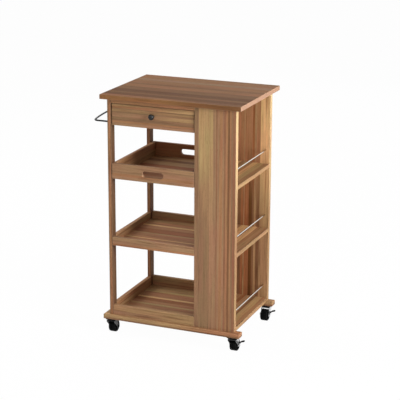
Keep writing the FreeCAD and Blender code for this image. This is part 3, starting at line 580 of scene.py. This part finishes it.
# %% Rails and base bars
wooden_boards({
    "upper_front_rail": ("X", "Z", "rose 15"),
    "rear_apron": ("X", "Z", "rose 24 tan 30 russet 24"),
    "left_apron": ("Y", "Z", "russet 22 rose 30 tan 26"),
    "middle_front_rail": ("X", "Z", "rose 9 clay 10 clay 13"),
    "middle_rear_rail": ("X", "Z", "rose 12 tan 20"),
    "middle_left_rail": ("Y", "Z", "rose 14 tan 18"),
    "bottom_front_rail": ("X", "Z", "clay>tan 16 tan 22"),
    "bottom_rear_rail": ("X", "Z", "rose 14 tan 24"),
    "bottom_left_rail": ("Y", "Z", "tan 20 rose 18"),
    "front_base_bar": ("X", "Z", "taupe>umber 6 straw>rose 11", FULL_FIGURE, FAINT_END_HIGHLIGHT),
    "rear_base_bar": ("X", "Z", "umber 6 tan 11", FULL_FIGURE, FAINT_END_HIGHLIGHT),
})

# %% [markdown]
# ## Shelves
# The wide shelves are glued from many strips along the cart, rosy ones with narrow pale ones between
# them. The three small shelves of the rack are cut from a paler board, and their strips run from
# front to rear, so that their bright right-hand edges are plain long grain.

# %% Shelves
wooden_boards({
    "base_board": (
        "X", "Y",
        "straw 30 rose 34 tan 28 rose 30 straw 12 rose 26 russet 30 honey 14 rose 50"
        " straw 20 tan 45",
    ),
    "middle_shelf_panel": (
        "X", "Y",
        "rose 36 tan 28 rose 34 honey 8 rose 52 straw 10 russet 50 rose 34 honey 12"
        " rose 38 tan 40",
    ),
    "upper_side_shelf": (
        "Y", "X",
        "tan 18 honey 12 tan 16 straw 20 rose 9 honey 20 straw 22 tan 22",
    ),
    "middle_side_shelf": (
        "Y", "X",
        "rose 24 tan 10 honey 28 rose 14 honey 21 rose 8 tan 22 rose 6 tan 6",
    ),
    "bottom_side_shelf": (
        "Y", "X",
        "tan 26 rose 18 russet 10 tan 31 umber 9 straw 25 rose 14 tan 6",
    ),
})

# %% [markdown]
# ## Drawer and tray
# The drawer's front is the streakiest board: thin dark lines in its upper part, straw at its upper
# right, and a rosy line above its lower edge. The tray is plainer outside, and inside it is painted
# dark, a painted shade within it. The runners and dowels are plain sticks that hardly show, in the
# same wood.

# %% Drawer and tray
wooden_boards({
    "drawer_front": (
        "X", "Z",
        "clay 12 rose 6 taupe 5 taupe 9 clay>tan 14 taupe 5 tan 8 taupe 4 rose>straw 8 tan 6",
    ),
    "drawer_left_side": ("Y", "Z", "tan 26 rose 32"),
    "drawer_right_side": ("Y", "Z", "rose 30 tan 28"),
    "drawer_back": ("X", "Z", "tan 24 umber 26"),
    "drawer_floor": ("X", "Y", "tan 40 rose 46 umber 38 tan 44 russet 40 tan 48 rose 55"),
    "tray_front": ("X", "Z", "clay 12 rose 10 clay 12 clay 23"),
    # The tray's rear, right side and floor are painted dark inside, a painted shade.
    "tray_rear": ("X", "Z", "russet 25 russet 32"),
    "tray_left_side": ("Y", "Z", "tan 30 rose 27"),
    "tray_right_side": ("Y", "Z", "russet 27 umber 30"),
    "tray_floor": (
        "X", "Y",
        "russet 40 rose 30 russet 42 umber 34 tan 40 russet 36 tan 44 umber 30 tan 60",
    ),
})

# %% Runners and dowels
wooden_boards({
    "drawer_runner_left": ("Y", "Z", "tan 10"),
    "drawer_runner_right": ("Y", "Z", "tan 10"),
    "tray_runner_left": ("Y", "Z", "rose 10"),
    "tray_runner_right": ("Y", "Z", "rose 10"),
    "frame_dowels": ("X", "Z", "straw 900"),
})

# %% [markdown]
# ## Metal and moulded plastic
# The rods are plated and bright, the towel rail and the knob have a dark coat, and the casters are
# pressed steel with black mouldings. All of these are one plain colour that is never quite even, so
# they share a group that makes fine mottling, a roughness that varies with it, and a slight relief.

# %% Surface group
surface_inputs = {
    "Place": "NodeSocketVector",
    "Scale": "NodeSocketFloat",
    "Light": "NodeSocketColor",
    "Dark": "NodeSocketColor",
    "Smoothest": "NodeSocketFloat",
    "Roughest": "NodeSocketFloat",
}
FINER = 9.0
COARSE_HEIGHT, FINE_HEIGHT = 0.4, 0.6
MOTTLE_LOW, MOTTLE_HIGH = 0.3, 0.7

surface, given, made = new_group("uneven_surface", surface_inputs, look_outputs)
coarse = noise(surface, given["Place"], given["Scale"], 4.0, 0.6)
fine = noise(surface, given["Place"], times(surface, given["Scale"], FINER), 2.0)
mottle = span(surface, coarse, MOTTLE_LOW, MOTTLE_HIGH)
gloss_range = given["Smoothest"], given["Roughest"]
gloss = span(surface, fine, MOTTLE_LOW, MOTTLE_HIGH, *gloss_range)
bumps = times(surface, coarse, COARSE_HEIGHT), times(surface, fine, FINE_HEIGHT)
feed(surface, made["Color"], tint(surface, mottle, given["Dark"], given["Light"], "MIX"))
feed(surface, made["Roughness"], gloss)
feed(surface, made["Height"], total(surface, *bumps))
print("surface nodes:", len(surface.nodes))

# %% [markdown]
# ## Finishes of the metal and the mouldings
# Each finish is two greys, which the mottling mixes, a range of roughness and the size of the
# mottling. The rods' plating is a little creamy, and its mottling is drawn out along them. A fork's
# crown sits in the shade under the base bar and is painted dark and dull, a painted shade, so a
# fork's finish has a second, paler pair of greys for its cheeks, the faces to the left and right.

# %% Hard finish
PLAIN = (1.0, 1.0, 1.0)
CREAMY = (1.0, 0.95, 0.88)
SURFACE_RELIEF, SURFACE_DEPTH = 0.1, 0.0002


def hard_finish(
    name, greys, metallic, roughness, scale, unshaded_cheeks=None, shine=0.5, drawn=1.0, hue=PLAIN
):
    material, tree, shader = new_finish(name)
    spot = tree.nodes.new("ShaderNodeTexCoord").outputs
    mapping = tree.nodes.new("ShaderNodeMapping")
    mapping.inputs["Scale"].default_value = (1.0, drawn, 1.0)
    feed(tree, mapping.inputs["Vector"], spot["Object"])
    colours = [(*(grey * part for part in hue), 1.0) for grey in greys]
    # Forks: the crown takes the first, darker greys as a painted shade, and the cheeks take the paler
    # greys.
    if unshaded_cheeks:
        sideways = maths(tree, "ABSOLUTE", parts_of(tree, spot["Normal"])["X"])
        unshaded_cheek = span(tree, sideways, TURNED_AWAY, FULLY_FACING)
        pale = [(grey, grey, grey, 1.0) for grey in unshaded_cheeks]
        colours = [tint(tree, unshaded_cheek, *pair, "MIX") for pair in zip(colours, pale)]
    if unshaded_cheeks and metallic:
        feed(tree, shader["Metallic"], unshaded_cheek)
    else:
        shader["Metallic"].default_value = metallic
    looks = use_group(tree, surface, {
        "Place": mapping.outputs["Vector"],
        "Scale": scale,
        "Dark": colours[0],
        "Light": colours[1],
        "Smoothest": roughness[0],
        "Roughest": roughness[1],
    })
    bump = tree.nodes.new("ShaderNodeBump")
    bump.inputs["Strength"].default_value = SURFACE_RELIEF
    bump.inputs["Distance"].default_value = SURFACE_DEPTH
    feed(tree, bump.inputs["Height"], looks["Height"])
    feed(tree, shader["Base Color"], looks["Color"])
    feed(tree, shader["Roughness"], looks["Roughness"])
    feed(tree, shader["Normal"], bump.outputs["Normal"])
    shader["Specular IOR Level"].default_value = shine
    return material


print("hard finish is ready")

# %% Plating, coats, steel and mouldings
bright_plating = hard_finish(
    "bright_plating", (0.48, 0.62), 1.0, (0.12, 0.22), 300.0, drawn=0.02, hue=CREAMY
)
dark_coat = hard_finish("dark_coat", (0.006, 0.010), 0.0, (0.20, 0.32), 400.0, shine=0.3)
dark_rail = hard_finish("dark_rail", (0.006, 0.010), 0.0, (0.30, 0.42), 400.0, shine=0.1)
bright_zinc = hard_finish("bright_zinc", (0.56, 0.72), 1.0, (0.28, 0.42), 250.0)
# The caster plates, kingpins, screws and left axles are painted near black, a painted shade under the
# base bars.
painted_shade_steel = hard_finish("painted_shade_steel", (0.006, 0.012), 0.0, (0.5, 0.65), 250.0, shine=0.06)
# The forks' crowns are painted near black, a painted shade under the base bars; their cheeks are
# paler.
silver_fork = hard_finish("silver_fork", (0.02, 0.03), 1.0, (0.3, 0.45), 250.0, (0.6, 0.75), 0.3)
grey_fork = hard_finish("grey_fork", (0.008, 0.016), 0.0, (0.4, 0.55), 400.0, (0.08, 0.11), 0.15)
black_moulding = hard_finish("black_moulding", (0.002, 0.005), 0.0, (0.5, 0.65), 500.0, shine=0.03)
print("finishes:", len(bpy.data.materials))

# %% Dress the metal
dress("guard_rods", bright_plating)
dress("towel_rail", dark_rail)
for fastener in ("base_screws", "knob_screw"):
    dress(fastener, bright_zinc)
# These fixed caster parts get the near-black steel, a painted shade where the bars shade them.
for fixed_part in ("caster_plates", "caster_kingpins", "caster_screws"):
    dress(fixed_part, painted_shade_steel)
for end in ("front", "rear"):
    dress(f"{end}_left_fork", grey_fork)
    dress(f"{end}_left_axle", painted_shade_steel)
    dress(f"{end}_right_fork", silver_fork)
    dress(f"{end}_right_axle", bright_zinc)
print("bare nodes:", [name for name, node in nodes.items() if not node.material_slots])

# %% [markdown]
# ## Turning
# The knob and the wheels are turned shapes, so both are made as a lathe makes them: half of the
# outline is drawn beside the axis and spun round it. The outline is a list of places along the axis
# and radii, in millimetres. It starts from one point, a plane whose corners are merged, and grows by
# extruding that point. Spin leaves doubled points at the seam, which are merged before the faces are
# turned outwards.

# %% Turning
SEAM_GAP = 0.01
TURN_STEPS = 24


def hold_only(piece):
    bpy.ops.object.select_all(action="DESELECT")
    piece.select_set(True)
    bpy.context.view_layer.objects.active = piece


def start_plane(name, spot):
    bpy.ops.object.select_all(action="DESELECT")
    bpy.ops.mesh.primitive_plane_add(size=MILLIMETRE, location=spot)
    piece = bpy.context.object
    piece.name = name
    bpy.ops.object.transform_apply(location=True)
    return piece


def turned(name, spot, axis, outward, outline, steps):
    piece = start_plane(name, spot)
    bpy.ops.object.mode_set(mode="EDIT")
    bpy.ops.mesh.merge(type="CENTER")
    last_along, last_radius = 0.0, 0.0
    for count, (along, radius) in enumerate(outline):
        step = (axis * (along - last_along) + outward * (radius - last_radius)) * MILLIMETRE
        if count == 0:
            bpy.ops.transform.translate(value=step)
        else:
            bpy.ops.mesh.extrude_vertices_move(TRANSFORM_OT_translate={"value": step})
        last_along, last_radius = along, radius
    bpy.ops.mesh.select_all(action="SELECT")
    bpy.ops.mesh.spin(steps=steps, angle=2 * math.pi, center=spot, axis=axis)
    bpy.ops.mesh.select_all(action="SELECT")
    bpy.ops.mesh.remove_doubles(threshold=SEAM_GAP * MILLIMETRE)
    bpy.ops.mesh.normals_make_consistent(inside=False)
    bpy.ops.object.mode_set(mode="OBJECT")
    return piece


print("turning is ready")

# %% [markdown]
# ## Drawer knob
# The knob is a small turned one with a dark coat: a foot on the drawer's front, a waist to get the
# fingers behind, and a head with a gently domed face. Its outline has few points, and a Subdivision
# Surface modifier rounds it, so that the highlight runs smoothly over the head.

# %% Drawer knob
KNOB_OUTLINE = [
    (0.0, 0.0), (0.0, 6.4), (0.4, 6.6), (2.2, 6.4), (3.0, 4.2), (6.5, 3.5), (9.0, 5.0), (10.0, 9.6),
    (11.2, 10.7), (14.8, 10.6), (18.4, 8.6), (20.4, 4.4), (20.6, 0.0),
]
KNOB_ROUNDING = 2
KNOB_SMOOTH_ANGLE = math.radians(40)
TO_FRONT = Vector((0, -1, 0))
TO_REAR = Vector((0, 1, 0))
TO_RIGHT = Vector((1, 0, 0))

low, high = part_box("drawer_knob")
knob_foot = Vector(((low.x + high.x) / 2, high.y, (low.z + high.z) / 2))
knob = turned("turned_knob", knob_foot, TO_FRONT, TO_RIGHT, KNOB_OUTLINE, TURN_STEPS)
rounding = knob.modifiers.new("rounding", "SUBSURF")
rounding.levels = rounding.render_levels = KNOB_ROUNDING
bpy.ops.object.modifier_apply(modifier=rounding.name)
bpy.ops.object.shade_smooth_by_angle(angle=KNOB_SMOOTH_ANGLE)
knob.data.materials.append(dark_coat)
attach(knob, "drawer")
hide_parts("drawer_knob")
print("knob faces:", len(knob.data.polygons))

# %% [markdown]
# ## Wheels
# A small caster wheel is one black moulding: a tread with a groove round its middle, a dished side
# with short ribs, and a hub that bears on the axle. The outline is spun as the knob's was. The ribs
# are raised from the dished side, where every eighth face is inset a little and extruded outwards.
# One wheel is modelled and copied to the other three casters.

# %% Wheel outline
BORE_RADIUS = 3.05
HUB_RADIUS = 7.5
RIM_RADIUS = 17.0
DISH = 3.0
HUB_PROUD = 0.6
HUB_EASE = 0.5
WEB_DRAFT = 0.6
RIM_DRAFT, RIM_EASE = 0.4, 0.5
TREAD_ROUND = 3.5
GROOVE_HALF, GROOVE_DRAFT, GROOVE_DEPTH = 0.9, 0.3, 0.8
WHEEL_STEPS = 48

low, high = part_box("front_left_wheel")
wheel_centre = (low + high) / 2
half_hub = (high.x - low.x) / 2 / MILLIMETRE
half_rim = half_hub - HUB_PROUD
half_web = half_rim - DISH
tread_radius = (high.z - low.z) / 2 / MILLIMETRE

shoulder = []
for degrees in (0, 30, 60, 90):
    bow = math.radians(degrees)
    shoulder.append((
        half_rim - TREAD_ROUND + TREAD_ROUND * math.cos(bow),
        tread_radius - TREAD_ROUND + TREAD_ROUND * math.sin(bow),
    ))
right_half = [
    (half_hub, BORE_RADIUS),
    (half_hub, HUB_RADIUS - HUB_EASE),
    (half_hub - HUB_EASE, HUB_RADIUS),
    (half_web, HUB_RADIUS + WEB_DRAFT),
    (half_web, RIM_RADIUS - WEB_DRAFT),
    (half_rim - RIM_DRAFT, RIM_RADIUS),
    (half_rim, RIM_RADIUS + RIM_EASE),
    *shoulder,
    (GROOVE_HALF, tread_radius),
    (GROOVE_HALF - GROOVE_DRAFT, tread_radius - GROOVE_DEPTH),
]
left_half = [(-across, radius) for across, radius in reversed(right_half)]
wheel_outline = right_half + left_half + right_half[:1]
print("wheel outline points:", len(wheel_outline))

# %% Wheel
RIB_EVERY = 8
RIB_MARGIN = 2.0
RIB_INSET = 0.1
RIB_RISE = 2.2
SQUARE_ON = 0.99
SMOOTH_ANGLE = math.radians(32)


def pick_faces(piece, wanted):
    bpy.ops.object.mode_set(mode="EDIT")
    bpy.ops.mesh.select_mode(type="FACE")
    bpy.ops.mesh.select_all(action="DESELECT")
    bpy.ops.object.mode_set(mode="OBJECT")
    for face in piece.data.polygons:
        face.select = wanted(face)
    bpy.ops.object.mode_set(mode="EDIT")


def is_rib(face, side):
    arm = face.center - wheel_centre
    reach = math.hypot(arm.y, arm.z) / MILLIMETRE
    turn = math.degrees(math.atan2(arm.z, arm.y)) % 360
    on_side = side * face.normal.x > SQUARE_ON
    on_web = on_side and HUB_RADIUS + RIB_MARGIN < reach < RIM_RADIUS - RIB_MARGIN
    return on_web and int(turn / 360 * WHEEL_STEPS) % RIB_EVERY == 0


wheel = turned("wheel_front_left", wheel_centre, TO_RIGHT, TO_REAR, wheel_outline, WHEEL_STEPS)
for side in (-1, 1):
    pick_faces(wheel, lambda face: is_rib(face, side))
    bpy.ops.mesh.inset(thickness=RIB_INSET * MILLIMETRE)
    rise = Vector((side * RIB_RISE * MILLIMETRE, 0, 0))
    bpy.ops.mesh.extrude_region_move(TRANSFORM_OT_translate={"value": rise})
    bpy.ops.object.mode_set(mode="OBJECT")
hold_only(wheel)
bpy.ops.object.shade_smooth_by_angle(angle=SMOOTH_ANGLE)
wheel.data.materials.append(black_moulding)
print("wheel faces:", len(wheel.data.polygons))

# %% Copies of the wheel
def copied(piece, name, shift):
    hold_only(piece)
    bpy.ops.object.duplicate(linked=False)
    copy = bpy.context.object
    copy.name = name
    bpy.ops.object.mode_set(mode="EDIT")
    bpy.ops.mesh.select_all(action="SELECT")
    bpy.ops.transform.translate(value=shift)
    bpy.ops.object.mode_set(mode="OBJECT")
    return copy


wheels = {"front_left": wheel}
for place in ("front_right", "rear_left", "rear_right"):
    low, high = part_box(place + "_wheel")
    wheels[place] = copied(wheel, "wheel_" + place, (low + high) / 2 - wheel_centre)
for place, piece in wheels.items():
    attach(piece, place + "_roller")
    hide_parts(place + "_wheel")
print("wheels:", ", ".join(piece.name for piece in wheels.values()))

# %% [markdown]
# ## Brake pedals
# The two right-hand casters have a brake pedal that is tipped down with a toe. It is a moulded tab
# on a small hinge barrel: it rises steeply, flattens towards its tip, grows wider, and has ridges
# for grip. A section is extruded along that line and turned a little at each step, and ridges are
# raised on the upper faces. The barrel with its pin is turned, and a Boolean modifier makes the two
# one piece.

# %% Pedal tab
PEDAL_LINE = [(0.6, 0.6), (4.0, 4.1), (8.0, 6.8), (12.0, 8.6), (16.0, 9.9), (19.4, 10.6)]
PEDAL_WIDTHS = [8.4, 8.6, 9.6, 10.4, 10.4, 8.6]
PEDAL_THICK = 3.8
HINGE_SIDE = 2.4

low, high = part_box("front_right_brake")
hinge_side = HINGE_SIDE * MILLIMETRE
hinge = Vector((low.x + hinge_side, (low.y + high.y) / 2, low.z + hinge_side))


def pedal_spot(index):
    along, up = PEDAL_LINE[index]
    return hinge + Vector((along, 0, up)) * MILLIMETRE


def pedal_slope(index):
    start = pedal_spot(max(index - 1, 0))
    end = pedal_spot(min(index + 1, len(PEDAL_LINE) - 1))
    return math.atan2(end.z - start.z, end.x - start.x)


bpy.ops.object.select_all(action="DESELECT")
bpy.ops.mesh.primitive_plane_add(
    size=MILLIMETRE, location=pedal_spot(0), rotation=(0, math.pi / 2 - pedal_slope(0), 0)
)
pedal = bpy.context.object
pedal.name = "pedal_front_right"
pedal.scale = (PEDAL_THICK, PEDAL_WIDTHS[0], 1)
bpy.ops.object.transform_apply(location=True, rotation=True, scale=True)
bpy.ops.object.mode_set(mode="EDIT")
for index in range(1, len(PEDAL_LINE)):
    move = pedal_spot(index) - pedal_spot(index - 1)
    bpy.ops.mesh.extrude_region_move(TRANSFORM_OT_translate={"value": move})
    swing = pedal_slope(index) - pedal_slope(index - 1)
    bpy.ops.transform.rotate(value=swing, orient_axis="Y", center_override=pedal_spot(index))
    widening = PEDAL_WIDTHS[index] / PEDAL_WIDTHS[index - 1]
    bpy.ops.transform.resize(value=(1, widening, 1), center_override=pedal_spot(index))
bpy.ops.mesh.select_all(action="SELECT")
bpy.ops.mesh.normals_make_consistent(inside=False)
bpy.ops.object.mode_set(mode="OBJECT")
print("pedal tip: %.1f mm from the hinge" % ((pedal_spot(-1) - hinge).length / MILLIMETRE))

# %% Pedal ridges and barrel
BARREL_OUTLINE = [
    (-6.7, 0.0), (-6.7, 1.2), (-4.5, 1.2), (-4.5, 2.1), (-4.2, 2.4),
    (4.2, 2.4), (4.5, 2.1), (4.5, 1.2), (6.7, 1.2), (6.7, 0.0),
]
UPWARD = 0.7
RIDGE_MARGIN = 0.9
RIDGE_RISE = 0.5
PEDAL_EASE, PEDAL_EASE_STEPS = 0.35, 2

pick_faces(pedal, lambda face: face.normal.z > UPWARD and face.center.x > pedal_spot(1).x)
bpy.ops.mesh.inset(thickness=RIDGE_MARGIN * MILLIMETRE, use_individual=True)
bpy.ops.mesh.extrude_faces_move(TRANSFORM_OT_shrink_fatten={"value": RIDGE_RISE * MILLIMETRE})
bpy.ops.object.mode_set(mode="OBJECT")
barrel = turned("pedal_barrel", hinge, TO_REAR, TO_RIGHT, BARREL_OUTLINE, TURN_STEPS)
hold_only(pedal)
softening = pedal.modifiers.new("softening", "BEVEL")
softening.width = PEDAL_EASE * MILLIMETRE
softening.segments = PEDAL_EASE_STEPS
joining = pedal.modifiers.new("joining", "BOOLEAN")
joining.operation = "UNION"
joining.object = barrel
for modifier in (softening.name, joining.name):
    bpy.ops.object.modifier_apply(modifier=modifier)
bpy.data.objects.remove(barrel)
bpy.ops.object.shade_smooth_by_angle(angle=SMOOTH_ANGLE)
pedal.data.materials.append(black_moulding)
print("pedal faces:", len(pedal.data.polygons))

# %% Copy of the pedal
low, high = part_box("rear_right_brake")
to_rear = Vector((0, (low.y + high.y) / 2 - hinge.y, 0))
pedals = {"front_right": pedal, "rear_right": copied(pedal, "pedal_rear_right", to_rear)}
for place, piece in pedals.items():
    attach(piece, place + "_lever")
    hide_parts(place + "_brake")
print("pedals:", ", ".join(piece.name for piece in pedals.values()))
